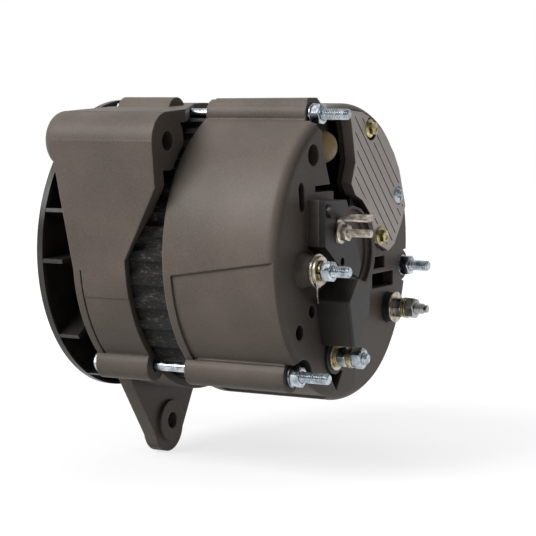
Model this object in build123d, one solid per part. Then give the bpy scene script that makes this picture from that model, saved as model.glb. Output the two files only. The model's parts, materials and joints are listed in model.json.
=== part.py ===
from build123d import *

import os
from math import atan2, cos, degrees, hypot, radians, sin

# Alternator head of the through-bolt kind: two cast housings clamp the stator between them.
# Millimetres. The shaft runs along Y, drive end toward -Y and slip-ring end toward +Y, +Z up.
# The origin is on the shaft axis at the middle of the pulley seat.
# Angles are measured round the shaft from +Z toward +X.

# housings and stator: everything round the stator follows its radius
stator_r = 73.5
register_r = stator_r + 0.05
body_r = stator_r + 4.5
cavity_r = stator_r - 3.0
shell_inner_r = stator_r - 1.5
drive_front, drive_rear = 34.0, 66.5
rear_front, rear_face = 89.5, 155.5
wall_inner = 146.0
stator_front, stator_rear = drive_rear - 4.5, rear_front + 4.5
stator_bore_r = 54.0
slot_count = 36

# through bolts, M6
bolt_r, bolt_angles = stator_r + 4.1, (20.7, 140.7, 260.7)
lobe_r, rear_lobe_radii = 8.5, (7.4, 8.5, 8.5)
nut_seat = 148.5
m6_r, m6_shank_r, m6_flats, m6_nut = 2.9, 2.6, 10.0, 5.0
m6_clear_r = m6_r + 0.2
bolt_hole_r = 3.2
m4_r, m4_shank_r, m4_clear_r = 2.05, 1.8, 2.25
thread_gap = 0.1

# shaft and bearings
seat_r, seat_half = 8.5, 11.0
seat_end = seat_half - 0.1
core_r = 10.0
shaft_front, shaft_rear = -25.0, 149.0
front_bearing = dict(bore=8.5, outer=23.5, y0=35.0, y1=49.0, pitch=16.0, ball=3.7, count=7)
rear_bearing = dict(bore=7.5, outer=17.5, y0=138.0, y1=149.0, pitch=12.5, ball=2.9, count=8)
run_gap = 0.05

# hinge foot and adjusting ear
foot_x, foot_z, foot_r, foot_bore_r = 70.0, 59.0, 15.0, 5.25
foot_front, foot_rear = 19.5, 88.0
ear_x, ear_z, ear_r, ear_bore_r = -2.0, -102.0, 14.0, 4.5
ear_front, ear_rear = 32.0, 42.0

# fan
fan_r, fan_front, fan_disc, fan_blade_end = 79.4, 12.0, 2.5, 28.0
fan_gaps = (19.5, 32, 26, 22, 30, 24, 28, 20, 31, 25, 23, 29, 27, 23.5)

# rotor
claw_r, claw_count = 53.5, 6
claw_front, claw_rear, claw_disc = 55.0, 101.0, 11.0
ring_r, ring_inner_r = 15.0, 12.0
ring_spans = ((109.0, 117.0), (121.0, 129.0))

# brush gear
brush_angle = 66.0
brush_w, brush_l, brush_long, guide_gap = 5.0, 6.4, 16.0, 0.1
brush_boss = 162.3
brush_face = 166.0
plate_outline = ((45.3, 29.5), (22.6, 29.0), (19.0, 21.7), (6.0, -5.6), (9.0, -12.0), (31.0, -4.0), (45.3, 6.0))

# terminals: centre x and z
battery_at, tap_at, ground_at, field_at = (49.0, -5.6), (17.0, -53.0), (-52.0, -33.7), (30.4, 12.6)
battery_boss = 162.0
ground_seat = 151.8
field_nut_top, field_tip = 171.5, 184.5
field_tab_thick, field_tab_tip = 1.0, 185.0
battery_nut_top, battery_tip = 172.5, 182.0
ground_nut_top, ground_tip = 170.2, 177.0
tap_nut_top, tap_tip = 173.4, 176.0

# rectifier behind the rear wall
sink_span = (86.0, 248.0)
sink_posts = ((56.4, -20.5), (-10.4, -48.9), (-30.8, -34.2))
positive_y, negative_y, sink_thick = 118.0, 133.0, 3.0
diode_r, diode_ring_r = 6.3, 47.0
positive_diodes, negative_diodes = (113.0, 136.0, 177.0), (124.0, 147.0, 207.0)

# regulator under its cover
cover_floor, cover_face = 149.8, 156.0
cover_outline = (
    (0.0, 74.4), (-14.0, 73.3), (-30.0, 68.1), (-42.0, 60.3), (-52.0, 50.8), (-58.6, 41.8), (-62.0, 33.3),
    (-65.0, 25.8), (-66.8, 21.2), (-61.7, 12.1), (-53.0, 1.0), (-46.0, -2.2), (-28.4, 3.8), (-27.6, 11.1),
    (-23.4, 19.5), (-14.6, 26.8), (-6.8, 29.8), (-2.0, 36.2), (-6.6, 47.3), (-3.0, 64.3),
)  # fmt: skip
flange_screws = ((-24.6, 64.5), (-35.8, 6.5))
pan_screw = (-57.6, 27.3)
module_box = (-50.0, -12.0, 22.0, 49.0)
groove_pitch, groove_wide, groove_deep = 5.5, 0.8, 0.6
cap_at, cap_r = (14.0, 55.5), 8.5
pocket_outline = (
    (30.0, 66.0), (29.8, 58.5), (25.5, 46.6), (21.1, 36.7), (37.2, 36.3), (37.2, 33.2), (17.5, 33.0), (17.0, 24.0),
    (10.0, 22.8), (0.0, 24.8), (-10.0, 22.6), (-17.0, 17.8), (-24.5, 20.5), (-15.0, 27.5), (-8.0, 30.5), (-4.0, 36.0),
    (-8.0, 47.3), (-4.5, 64.3), (-1.5, 71.0), (18.0, 69.5),
)  # fmt: skip


def polar(r, angle):
    return (r * sin(radians(angle)), r * cos(radians(angle)))


def prism(sketch, y0, y1):
    return extrude(Plane.XZ.offset(-y0) * sketch, amount=y1 - y0, dir=(0, 1, 0))


def rod(r, y0, y1, at=(0, 0)):
    return prism(Pos(*at) * Circle(r), y0, y1)


def tube(outer, inner, y0, y1, at=(0, 0)):
    return prism(Pos(*at) * (Circle(outer) - Circle(inner)), y0, y1)


def hexagon(flats, y0, y1, at, hole=0.0):
    outline = Pos(*at) * RegularPolygon(flats / 2, 6, major_radius=False)
    if hole:
        outline = outline - Pos(*at) * Circle(hole)
    return prism(outline, y0, y1)


def turned(points, arc=360):
    return revolve(Polygon(*points, align=None), axis=Axis.Y, revolution_arc=arc)


def sector(outer, inner, y0, y1, a0, a1):
    ring = turned(((inner, y0), (outer, y0), (outer, y1), (inner, y1)), arc=a1 - a0)
    return Rot(0, a0 - 90, 0) * ring


def block(x0, x1, y0, y1, z0, z1):
    return Pos((x0 + x1) / 2, (y0 + y1) / 2, (z0 + z1) / 2) * Box(x1 - x0, y1 - y0, z1 - z0)


def outline(points):
    return Polygon(*points, align=None)


def chamfered_tip(r, y0, y1, at, chamfer=0.8):
    body = rod(r, y0, y1, at)
    tip = body.edges().group_by(Axis.Y)[-1]
    return fuse_all([chamfered(body, tip, chamfer)])


def chamfered(body, edges, size):
    return body.chamfer(size, None, list(edges))


def fuse_all(shapes):
    total = shapes[0]
    for shape in shapes[1:]:
        total = total + shape
    return total


def bolt_places(angles=bolt_angles):
    return [polar(bolt_r, angle) for angle in angles]


def lobes(y0, y1, radii):
    return fuse_all([rod(r, y0, y1, at) for r, at in zip(radii, bolt_places())])


def top_pad(y0, y1):
    # flat-topped ridge over the upper bolt: a steep facet on the hinge side, a long one on the other
    x, z = bolt_places()[0]
    top = body_r + 3.0
    across = outline(((x - 14, z + 2), (x - 5, top), (x + 4.6, top), (x + 7.2, z - 2.8), (x + 2, z - 7), (x - 14, z - 4)))
    side = outline(((y0, z - 10), (y1, z - 10), (y1, top), (y0 + 5, top - 0.4), (y0, top - 3)))
    return prism(across, y0, y1) & extrude(Plane.YZ * side, amount=60, dir=(1, 0, 0))


def foot():
    # boss beside the body, joined by a web tangent to the band below it and one above it
    reach = hypot(foot_x, foot_z)
    lean = degrees(atan2(foot_x, foot_z))
    spread = degrees(atan2((reach**2 - (body_r - foot_r) ** 2) ** 0.5, body_r - foot_r))
    boss = rod(foot_r, foot_front, foot_rear, (foot_x, foot_z))
    boss = boss.fillet(6.0, list(boss.edges().group_by(Axis.Y)[0]))
    web_front = foot_front + 6.5
    webs = []
    for side, thick, rear_drop in ((1, 9.0, 22.0), (-1, 6.5, 18.0)):
        angle = lean + side * spread
        out = polar(1.0, angle)
        start = (foot_x + foot_r * out[0], foot_z + foot_r * out[1])
        end = polar(body_r, angle)
        length = hypot(end[0] - start[0], end[1] - start[1])
        run = ((end[0] - start[0]) / length, (end[1] - start[1]) / length)
        face = Plane(origin=(start[0], 0, start[1]), x_dir=(0, 1, 0), z_dir=(-out[0], 0, -out[1]))
        flip = 1 if face.y_dir.dot(Vector(run[0], 0, run[1])) > 0 else -1
        shape = (
            (web_front, -2.0),
            (web_front, 6.0),
            (drive_front, length),
            (drive_rear, length),
            (drive_rear, length - 6.0),
            (foot_rear, rear_drop),
            (foot_rear, -2.0),
        )
        web = outline([(y, flip * s) for y, s in shape])
        webs.append(extrude(face * web, amount=thick, dir=(-out[0], 0, -out[1])))
    spine = prism(outline(((foot_x, foot_z), polar(body_r - 3, lean + 24), polar(body_r - 3, lean - 24))), 40, 60)
    bore = rod(foot_bore_r, foot_front - 1, foot_rear + 1, (foot_x, foot_z))
    fan_room = rod(fan_r + 1.6, foot_front - 1, fan_blade_end + 1.5)
    inside = rod(register_r + 2, foot_front, foot_rear)
    rear_room = rod(body_r + 1.2, rear_front - 4, foot_rear + 1)
    return fuse_all([boss, *webs, spine]) - bore - fan_room - inside - rear_room


def ear():
    left, right = (-36.0, -68.0), (40.0, -66.0)
    blade = outline((left, right, (ear_x + 13.2, ear_z - 4), (ear_x - 13.4, ear_z - 3))) + Pos(ear_x, ear_z) * Circle(ear_r)
    plate = prism(blade, ear_front + 2, ear_rear)
    ring = rod(11.5, ear_front, ear_rear + 2, (ear_x, ear_z + 3.5))
    return plate + ring - rod(cavity_r + 2, ear_front - 1, ear_rear + 3)


def ear_hole():
    return rod(ear_bore_r, ear_front - 1, ear_rear + 3, (ear_x, ear_z + 3.5))


def drive_end_housing():
    shell = turned(
        (
            (14.5, 31.0), (29.5, 31.0), (29.5, drive_front), (body_r, drive_front), (body_r, drive_rear),
            (register_r, drive_rear), (register_r, stator_front), (cavity_r, stator_front),
            (cavity_r, 40.0), (29.5, 40.0), (29.5, 49.0), (23.5, 49.0), (23.5, 35.0), (14.5, 35.0),
        )
    )  # fmt: skip
    shell = shell - tube(body_r + 1, body_r - 0.8, 38.0, 39.0)
    for n in range(8):
        shell = shell - sector(64.0, 35.0, 33.0, 41.0, 45 * n + 8, 45 * n + 37)
    shell = shell - sector(body_r + 1, body_r - 0.35, 39.0, drive_rear, 107.0, 134.0)
    body = fuse_all([shell, lobes(drive_front, drive_rear, (lobe_r,) * 3), foot(), ear()])
    body = body - rod(cavity_r, 40.0, stator_front) - rod(register_r, stator_front, drive_rear + 1) - ear_hole()
    body = body + tube(29.5, 23.5, 35.0, 49.0)
    for at in bolt_places():
        body = body + (rod(lobe_r, drive_front, 60.0, at) - rod(cavity_r - 4, drive_front, 60.0))
    for at in bolt_places():
        body = body - rod(bolt_hole_r, 33.0, foot_rear + 1, at) - rod(7.4, foot_front - 1, drive_front, at)
    for at in retainer_places():
        body = body - rod(1.9, 40.0, 50.0, at)
    return body


def retainer_places():
    return [polar(26.4, 30 + 90 * n) for n in range(4)]


def rear_shell():
    shell = turned(
        (
            (0, wall_inner), (0, rear_face), (body_r, rear_face), (body_r, rear_front),
            (register_r, rear_front), (register_r, stator_rear), (shell_inner_r, stator_rear), (shell_inner_r, wall_inner),
        )
    )  # fmt: skip
    rim = [e for e in shell.edges().filter_by(GeomType.CIRCLE) if abs(e.radius - body_r) < 0.01 and e.center().Y > 150]
    shell = shell.fillet(5.4, rim)
    low = Plane.YZ * outline(((94.0, -8.9), (156, 0.5), (156, -90), (94, -90)))
    recess = extrude(low, amount=90, dir=(1, 0, 0)) & tube(body_r + 4, body_r - 1.2, 93.0, 156.0) & block(20, 90, 90, 156, -90, 10)
    return shell - recess


def rear_housing():
    hub = rod(21.5, 136.0, rear_face) + tube(27.0, 23.0, rear_face - 1, rear_face + 2.0)
    body = fuse_all([rear_shell(), lobes(rear_front, nut_seat, rear_lobe_radii), top_pad(rear_front, nut_seat), hub])
    body = body - rod(register_r, rear_front - 1, stator_rear) - rod(19.5, rear_face - 1.2, rear_face + 1)
    for at in bolt_places():
        body = body + (rod(9.5, 97.0, nut_seat, at) & rod(body_r, 97.0, nut_seat))
    boss = prism(outline(plate_outline), rear_face - 1, brush_boss)
    battery = Pos(battery_at[0], rear_face, battery_at[1]) * Rot(-90, 0, 0) * Cone(9.0, 7.2, 6.4, align=(Align.CENTER, Align.CENTER, Align.MIN))
    body = body + boss + battery
    for x, z in sink_posts:
        body = body + rod(5.5, negative_y + sink_thick, wall_inner + 1, (x, z))
    body = body + rod(10.0, 132.0, 142.0, cap_at) + block(-6, 27, 132, 140, 62, 68) + block(8, 16, 132, 142, 50, 72.5)
    return body - rear_cuts()


def far_slope():
    # the face falls away towards the far rim, which leaves the regulator cover standing proud
    start, reach, fall = -8.0, 82.0, 5.3
    far = start - reach
    wedge = outline(((start, rear_face), (far, rear_face - fall), (far, 166.0), (start, 166.0)))
    return extrude(Plane.XY.offset(-90) * wedge, amount=180, dir=(0, 0, 1))


def rear_cuts():
    cuts = [rod(17.5, rear_bearing["y0"] - 3, rear_bearing["y1"])]
    cuts.append(prism(offset(outline(cover_outline), 0.35, kind=Kind.INTERSECTION), cover_floor, 160.0))
    x0, x1, z0, z1 = module_box
    cuts.append(block(x0 - 0.4, x1 + 0.4, wall_inner - 1, cover_floor + 1, z0 - 0.4, z1 + 0.4))
    cuts.append(prism(outline(pocket_outline), 142.0, 160.0))
    cuts.append(rod(cap_r + 0.4, 142.0, 153.4, cap_at))
    cuts.append(block(-47, -30, 140, 160, -11.5, -5.0))
    cuts.append(block(-59, -30, 140, 160, -22.0, -14.0))
    cuts.append(rod(5.6, 140, 160, (39.0, 52.0)))
    cuts.append(prism(Pos(51.0, 31.0) * Rot(0, 0, -8) * SlotOverall(15, 6, rotation=90), 140, 160))
    cuts.append(rod(4.0, 140, 160, (53.0, -37.0)))
    cuts.append(rod(3.4, 140, 160, (40.0, -27.5)))
    cuts.append(prism(outline(((22.0, -61.0), (6.5, -61.5), (13.5, -71.5))), 140, 160))
    cuts += [rod(bolt_hole_r, rear_front - 1, rear_face + 1, at) for at in bolt_places()]
    cuts += [rod(9.0, nut_seat, rear_face + 1, at) for at in bolt_places()]
    cuts.append(Rot(0, brush_angle, 0) * block(-8.4, 8.4, 134.0, brush_boss + 1, 22.6, 41.4))
    cuts.append(rod(5.4, wall_inner - 2, battery_boss + 1, battery_at))
    cuts += [rod(5.4, wall_inner - 2, rear_face + 1, at) for at in (tap_at,)]
    cuts.append(rod(3.2, 130.0, rear_face + 1, ground_at))
    cuts.append(rod(8.3, ground_seat, rear_face + 1, ground_at))
    cuts.append(far_slope() - rod(28.0, wall_inner, rear_face + 10))
    cuts += [rod(1.7, 134.0, 150.0, at) for at in sink_posts]
    cuts += [rod(1.7, wall_inner - 1, cover_floor + 1, at) for at in (*flange_screws, pan_screw)]
    cuts += [rod(1.7, wall_inner - 1, brush_boss + 1, at) for at in brush_screw_places()]
    return fuse_all(cuts)


def stator_core():
    notch = Pos(0, stator_r + 3.0) * Circle(4.9)
    slot = Pos(0, 60.0) * Rectangle(5.6, 12.0) + Pos(0, stator_bore_r) * Rectangle(2.6, 4.0)
    lamination = Circle(stator_r) - Circle(stator_bore_r)
    step = 360 / slot_count
    lamination = lamination - [Rot(0, 0, step * (n + 0.5)) * notch for n in range(slot_count)]
    lamination = lamination - [Rot(0, 0, step * n) * slot for n in range(slot_count)]
    return prism(lamination, stator_front, stator_rear)


def stator_winding():
    bar = Pos(0, 60.3) * Rectangle(4.8, 10.2)
    bars = Sketch() + [Rot(0, 0, 360 / slot_count * n) * bar for n in range(slot_count)]
    crown = ((56.5, 0.0), (64.5, 0.0), (66.0, 1.5), (66.0, 9.0), (64.0, 10.5), (57.5, 10.5), (56.0, 9.0), (56.0, 0.5))
    front = turned([(r, stator_front - 0.3 - y) for r, y in crown])
    rear = turned([(r, stator_rear + 0.3 + y) for r, y in crown])
    return prism(bars, stator_front - 0.6, stator_rear + 0.6) + front + rear


def through_bolts():
    bolts = []
    for at in bolt_places():
        bolts.append(stud(at, drive_front, nut_seat + 1.5 + m6_nut, 171.0))
    return bolts


def nut_stack(places, y0, thick=m6_nut, flats=m6_flats, hole=m6_shank_r + 0.05):
    return [hexagon(flats, y0, y0 + thick, at, hole) for at in places]


def washer(outer, y0, thick, at, hole=m6_clear_r):
    return tube(outer, hole, y0, y0 + thick, at)


def race_groove(bearing, clearance):
    middle = (bearing["y0"] + bearing["y1"]) / 2
    return Pos(0, middle, 0) * Rot(90, 0, 0) * Torus(bearing["pitch"], bearing["ball"] + clearance)


def inner_race(bearing):
    ring = tube(bearing["pitch"] - bearing["ball"] * 0.62, bearing["bore"] + 0.02, bearing["y0"], bearing["y1"])
    return ring - race_groove(bearing, run_gap)


def outer_race(bearing):
    ring = tube(bearing["outer"] - 0.02, bearing["pitch"] + bearing["ball"] * 0.62, bearing["y0"], bearing["y1"])
    return ring - race_groove(bearing, run_gap)


def ball_places(bearing):
    step = 360 / bearing["count"]
    return [polar(bearing["pitch"], step * n) for n in range(bearing["count"])]


def balls(bearing):
    middle = (bearing["y0"] + bearing["y1"]) / 2
    return [Pos(x, middle, z) * Sphere(bearing["ball"]) for x, z in ball_places(bearing)]


def cage(bearing):
    middle = (bearing["y0"] + bearing["y1"]) / 2
    half = bearing["ball"] * 1.3
    ring = tube(bearing["pitch"] + 1.3, bearing["pitch"] - 1.3, middle - half, middle + half)
    pocket = Pos(0, middle, bearing["pitch"]) * Cylinder(bearing["ball"] + run_gap, 6.0)
    for n in range(bearing["count"]):
        ring = ring - Rot(0, 360 / bearing["count"] * n, 0) * pocket
    return ring


def bearing_retainer():
    plate = tube(29.0, 14.5, 49.0, 51.0)
    for at in retainer_places():
        plate = plate - rod(2.2, 48.0, 52.0, at)
    return plate


def retainer_screws():
    return [rod(1.8, 41.0, 51.5, at) + rod(3.4, 51.0, 53.0, at) for at in retainer_places()]


def shaft():
    body = turned(
        (
            (0, shaft_front), (7.1, shaft_front), (7.9, shaft_front + 0.8), (7.9, -seat_end), (seat_r, -seat_end),
            (seat_r, seat_end), (seat_r - 0.3, seat_end), (seat_r - 0.3, seat_half + 0.5), (seat_r, seat_half + 0.5),
            (seat_r, 49.0), (core_r, 49.0), (core_r, 134.0), (9.0, 134.0), (9.0, 138.0), (7.5, 138.0),
            (7.5, shaft_rear - 0.8), (6.8, shaft_rear), (0, shaft_rear),
        )
    )  # fmt: skip
    keyway = block(-2.0, 2.0, -9.0, 33.0, 5.5, 9.0)
    return body - keyway


def fan_key():
    return block(-1.95, 1.95, 11.5, 31.0, 5.5, 10.4)


def fan_spacer():
    return tube(13.0, seat_r + 0.03, 17.5, 35.0) - block(-2.1, 2.1, 17.0, 31.3, 0.0, 10.7)


def fan():
    web = tube(fan_r, seat_r + 0.03, fan_front, fan_front + fan_disc)
    hub = tube(16.0, seat_r + 0.03, seat_half, 17.5)
    lip = tube(fan_r, fan_r - 2.0, fan_front, fan_front + fan_disc + 1.0)
    wheel = web + hub + lip
    angle = 73.8
    for gap in fan_gaps:
        blade = block(-1.1, 1.1, fan_front + 1, fan_blade_end, 46.0, fan_r - 0.2)
        wheel = wheel + Rot(0, angle, 0) * blade
        angle += gap
    wheel = wheel & rod(fan_r, 0, 40)
    return wheel - block(-2.1, 2.1, 10.0, 18.0, 0.0, 10.7)


def claw_pole(front):
    # one disc with six tapering fingers that reach over the field coil
    y0, y1 = (claw_front, claw_front + claw_disc) if front else (claw_rear - claw_disc, claw_rear)
    base, tip = (claw_front, claw_rear - 5.0) if front else (claw_rear, claw_front + 5.0)
    finger = Plane.XY.offset(30.0) * outline(((-11.5, base), (11.5, base), (4.5, tip), (-4.5, tip)))
    wedge = extrude(finger, amount=30, dir=(0, 0, 1))
    finger = (wedge & tube(claw_r, 45.5, claw_front, claw_rear)) + (wedge & tube(claw_r, 40.0, y0, y1))
    middle = (claw_front + claw_rear) / 2
    disc = tube(44.8, core_r + 0.02, y0, y1) + tube(24.0, core_r + 0.02, min(y0, middle), max(y1, middle))
    turn = 0 if front else 30
    return fuse_all([disc] + [Rot(0, turn + 60 * n, 0) * finger for n in range(claw_count)])


def bobbin():
    y0, y1 = claw_front + claw_disc + 0.2, claw_rear - claw_disc - 0.2
    return turned(
        ((24.1, y0), (44.6, y0), (44.6, y0 + 1.5), (25.6, y0 + 1.5), (25.6, y1 - 1.5), (44.6, y1 - 1.5), (44.6, y1), (24.1, y1))
    )


def field_coil():
    y0, y1 = claw_front + claw_disc + 1.8, claw_rear - claw_disc - 1.8
    return tube(43.6, 25.7, y0, y1)


def slip_ring_hub():
    points = [(core_r + 0.02, 104.0), (14.0, 104.0), (14.0, ring_spans[0][0]), (ring_inner_r, ring_spans[0][0])]
    points += [(ring_inner_r, ring_spans[0][1]), (14.0, ring_spans[0][1]), (14.0, ring_spans[1][0])]
    points += [(ring_inner_r, ring_spans[1][0]), (ring_inner_r, ring_spans[1][1]), (14.0, ring_spans[1][1])]
    points += [(14.0, 132.0), (core_r + 0.02, 132.0)]
    return turned(points)


def slip_ring(n):
    return tube(ring_r, ring_inner_r + 0.02, *ring_spans[n])


def brush_middle(n):
    return sum(ring_spans[n]) / 2


def brush(n):
    middle = brush_middle(n)
    carbon = block(-brush_w / 2, brush_w / 2, middle - brush_l / 2, middle + brush_l / 2, ring_r - 1.0, ring_r + brush_long)
    return Rot(0, brush_angle, 0) * (carbon - rod(ring_r + run_gap, middle - 9, middle + 9))


def brush_spring(n):
    base, top = ring_r + brush_long, 40.0
    pitch = (top - base - 0.8) / 4
    coil = Helix(pitch, top - base - 0.8, 1.7)
    section = Plane(origin=coil @ 0, z_dir=coil % 0) * Rectangle(0.7, 0.7)
    wire = sweep(section, path=coil, is_frenet=True)
    return Rot(0, brush_angle, 0) * Pos(0, brush_middle(n), base + 0.4) * wire


def brush_screw_places():
    return [(27.0, -2.5), (41.5, 24.0)]


def brush_holder():
    # one moulding: cover plate outside, guide block through the wall down to the rings
    guide = block(-8.0, 8.0, 107.0, brush_boss + 1, 23.0, 41.0) + block(-8.0, 8.0, 107.0, 134.0, 17.0, 41.0)
    for n in range(2):
        middle = brush_middle(n)
        half_w, half_l = brush_w / 2 + guide_gap, brush_l / 2 + guide_gap
        guide = guide - block(-half_w, half_w, middle - half_l, middle + half_l, 15.0, 40.0)
    plate = prism(outline(plate_outline), brush_boss, brush_face)
    body = Rot(0, brush_angle, 0) * guide + plate
    for at in brush_screw_places():
        body = body - rod(2.2, brush_boss - 1, brush_face + 1, at)
    return body - rod(2.2, brush_face - 3.5, brush_face + 1, field_at)


def brush_screws():
    x, z = brush_screw_places()[1]
    return rod(1.6, 150.0, brush_face + 0.5, (x, z)) + rod(3.4, brush_face, brush_face + 2.2, (x, z))


def field_terminal():
    free = chamfered_tip(m4_r, field_nut_top + thread_gap, field_tip, field_at, 0.5)
    return free + rod(m4_shank_r, brush_face - 3.4, field_nut_top + 1, field_at)


def field_nut():
    flange = tube(5.6, m4_clear_r, brush_face + field_tab_thick, brush_face + 2.2, field_at)
    return flange + hexagon(8.0, brush_face + 1.8, field_nut_top, field_at, m4_shank_r + 0.05)


def field_tab():
    x, z = field_at
    top = z + 8.15
    foot_plate = prism(Pos(x, z + 1.4) * RectangleRounded(9.4, 13.5, 2.5), brush_face, brush_face + field_tab_thick)
    blade = block(x - 3.2, x + 3.2, brush_face, field_tab_tip, top - field_tab_thick, top)
    return foot_plate + blade - rod(m4_clear_r, brush_face - 1, brush_face + 2, field_at)


def stud(at, seat, nut_top, tip):
    # the free thread starts just clear of the last nut
    free = chamfered_tip(m6_r, nut_top + thread_gap, tip, at)
    return free + rod(m6_shank_r, seat - 1, nut_top + 1, at) + hexagon(m6_flats, seat - 4.0, seat, at)


def battery_insulator():
    sleeve = tube(5.3, m6_clear_r, 141.0, battery_boss + 0.4, battery_at)
    rim = tube(7.4, m6_clear_r, battery_boss, battery_boss + 1, battery_at)
    return sleeve + rim + tube(8.0, m6_clear_r, 141.0, wall_inner, battery_at)


def battery_washers():
    return [washer(8.75, 163.0, 1.3, battery_at), washer(5.4, 165.9, 1.6, battery_at)]


def suppressor_corners():
    return ((38.5, -26.0), (23.7, -15.6), (12.4, -38.0), (27.0, -48.0))


def suppressor():
    can = prism(outline(suppressor_corners()), rear_face, 174.5)
    return can.fillet(1.2, can.edges().filter_by(Axis.Y))


def suppressor_strap():
    # flat tag under the battery nut, bent down over the top of the can
    arm = outline(((42.5, -9.0), (55.0, -10.0), (44.0, -27.0), (36.4, -23.0)))
    tag = prism(Pos(*battery_at) * Circle(7.6) + arm, 164.3, 165.9)
    tag = tag - rod(m6_clear_r, 160.0, 170.0, battery_at)
    return tag - prism(offset(outline(suppressor_corners()), 0.05, kind=Kind.INTERSECTION), 160.0, 170.0)


def suppressor_lead():
    mouth = prism(outline(((17.0, -53.0), (10.0, -62.0), (24.0, -62.0))), 167.0, 169.0)
    fork = tube(5.6, m6_clear_r, 167.4, 168.4, tap_at) - mouth
    arm = prism(outline(((12.0, -50.5), (17.0, -49.4), (21.0, -44.4), (16.6, -41.4))), 167.4, 168.4)
    can_room = prism(offset(outline(suppressor_corners()), 0.05, kind=Kind.INTERSECTION), 160, 170)
    return fork + (arm - can_room - rod(m6_clear_r, 160, 170, tap_at))


def tap_insulator():
    disc = tube(9.3, m6_clear_r, rear_face, 157.0, tap_at)
    sleeve = tube(5.3, m6_clear_r, 142.0, rear_face + 0.2, tap_at)
    return disc + sleeve + tube(8.0, m6_clear_r, 142.0, wall_inner, tap_at)


def tap_washers():
    stack = ((7.3, 157.0, 1.2), (5.6, 158.2, 0.9), (5.6, 159.1, 0.9), (5.4, 165.0, 1.2), (5.4, 166.2, 1.2))
    return [washer(r, y, t, tap_at) for r, y, t in stack]


def ground_collar():
    return tube(8.0, m6_clear_r, ground_seat, 156.8, ground_at)


def ground_washers():
    stack = ((8.5, 156.8, 1.2), (5.6, 163.0, 1.1), (5.6, 164.1, 1.1))
    return [washer(r, y, t, ground_at) for r, y, t in stack]


def heat_sink(y0, near_clear, holes):
    plate = sector(67.0, 32.0, y0, y0 + sink_thick, *sink_span)
    for at in sink_posts:
        plate = plate - rod(2.2, y0 - 1, y0 + sink_thick + 1, at)
    for at, r in near_clear:
        plate = plate - rod(r, y0 - 1, y0 + sink_thick + 1, at)
    for angle in holes:
        plate = plate - rod(diode_r, y0 - 1, y0 + sink_thick + 1, polar(diode_ring_r, angle))
    return plate


def diodes(y0, angles, towards):
    cans = []
    for angle in angles:
        at = polar(diode_ring_r, angle)
        low, high = (y0, y0 + 7.0) if towards > 0 else (y0 - 4.0, y0 + sink_thick)
        cans.append(rod(diode_r, low, high, at) + rod(1.2, low - 2.5, high + 1.0, at))
    return cans


def sink_spacers():
    return [tube(4.6, 1.8, positive_y + sink_thick, negative_y, at) for at in sink_posts]


def sink_screws():
    return [rod(1.65, positive_y - 1, 145.0, at) + hexagon(7.0, positive_y - 3.0, positive_y, at) for at in sink_posts]


def regulator_cover():
    plate = prism(outline(cover_outline), cover_floor, cover_face)
    plate = plate - rod(6.4, cover_face - 3.4, cover_face + 1, flange_screws[0])
    plate = plate - rod(5.0, cover_face - 3.4, cover_face + 1, pan_screw)
    for at in (*flange_screws, pan_screw):
        plate = plate - rod(2.2, cover_floor - 1, cover_face + 1, at)
    return plate - prism(cover_grooves(), cover_face - groove_deep, cover_face + 1)


def cover_grooves():
    # plain parallel ribs across the face, clear of its edge and its screws
    lines = [Pos(-33.0, 36.0) * Rot(0, 0, 45) * Pos(0, groove_pitch * n) * Rectangle(140, groove_wide) for n in range(-6, 7)]
    kept = (Sketch() + lines) & offset(outline(cover_outline), -2.8, kind=Kind.INTERSECTION)
    for at, r in zip((*flange_screws, pan_screw), (8.0, 7.2, 7.0)):
        kept = kept - Pos(*at) * Circle(r)
    return kept


def regulator_module():
    x0, x1, z0, z1 = module_box
    return block(x0, x1, 136.0, cover_floor, z0, z1)


def cover_flange_screws():
    screws = []
    for at, seat in zip(flange_screws, (cover_face - 3.4, cover_face)):
        head = rod(5.0, seat, seat + 1.0, at) + hexagon(6.0, seat, seat + 3.6, at)
        screws.append(head + rod(1.6, seat - 8.0 if seat < cover_face else seat - 9.0, seat + 0.5, at))
    return screws


def cover_pan_screw():
    seat = cover_face - 3.4
    head = rod(4.2, seat, seat + 2.6, pan_screw)
    head = head.fillet(1.3, list(head.edges().group_by(Axis.Y)[-1]))
    return head + rod(1.6, seat - 6.0, seat + 0.5, pan_screw)


def lead_cap():
    body = rod(cap_r, 142.0, 152.0, cap_at)
    return body.fillet(5.5, list(body.edges().group_by(Axis.Y)[-1]))


def save(name, shape):
    solids = list(shape) if isinstance(shape, (list, tuple)) else shape.solids()
    export_step(Compound(children=[s.solid() if not isinstance(s, Solid) else s for s in solids]), f"parts/{name}.step")


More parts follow.
